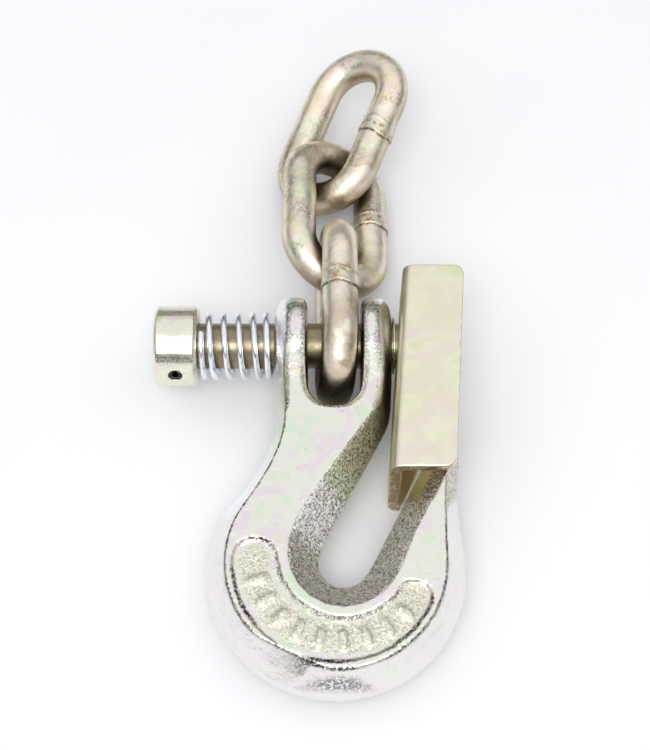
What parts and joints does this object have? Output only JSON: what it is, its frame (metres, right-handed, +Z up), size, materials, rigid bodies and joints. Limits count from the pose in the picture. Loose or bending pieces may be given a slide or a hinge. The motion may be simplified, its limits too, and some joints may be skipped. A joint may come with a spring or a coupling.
{
  "type": "safety chain hook",
  "caption": "Forged clevis hook on a short length of welded chain, with a spring-loaded swinging keeper across the throat and over the tip.",
  "frame": {"origin": "centre of the bounding box's base, with the set lying on the floor", "axes": "+Y from the bow toward the chain, +Z up from the floor, +X from the collar toward the keeper"},
  "size_m": [0.0834, 0.2, 0.0342],
  "materials": {
    "forging": "yellow zinc over rough forging",
    "latch": "yellow zinc, smooth",
    "chain": "dull yellow zinc, scuffed",
    "spring": "bright zinc",
    "roll_pin": "dark oiled"
  },
  "bodies": {
    "hook": {"hook_body": "forging"},
    "spring_set": {"latch_spring": "spring", "thrust_washer": "latch"},
    "latch": {"latch_pin": "latch", "pin_collar": "latch", "collar_roll_pin": "roll_pin", "keeper_channel": "latch", "keeper_weld": "latch"},
    "link_1": {"chain_link_1": "chain"},
    "link_2": {"chain_link_2": "chain"},
    "link_3": {"chain_link_3": "chain"}
  },
  "joints": [
    {"name": "latch_swing", "type": "hinge", "parent": "hook", "child": "spring_set", "pos_m": [0.00668, -0.0026, 0.01691], "axis": [-1, 0, 0], "range_deg": [0, 140]},
    {"name": "latch_push", "type": "slide", "parent": "spring_set", "child": "latch", "axis": [1, 0, 0], "range_m": [0, 0.0005], "stiffness_N_per_m": 2500, "springref_m": -0.012, "deforming": ["latch_spring"]},
    {"name": "link_1_swing", "type": "hinge", "parent": "hook", "child": "link_1", "pos_m": [0.00668, -0.0026, 0.01691], "axis": [-1, 0, 0], "range_deg": [-100, 95]},
    {"name": "link_2_swing", "type": "hinge", "parent": "link_1", "child": "link_2", "pos_m": [0.00728, 0.0314, 0.01698], "axis": [0.5123, 0.0842, 0.8547], "range_deg": [-65, 45]},
    {"name": "link_3_swing", "type": "hinge", "parent": "link_2", "child": "link_3", "pos_m": [0.00722, 0.06528, 0.01246], "axis": [-0.4834, -0.067, 0.8728], "range_deg": [-40, 35]}
  ]
}
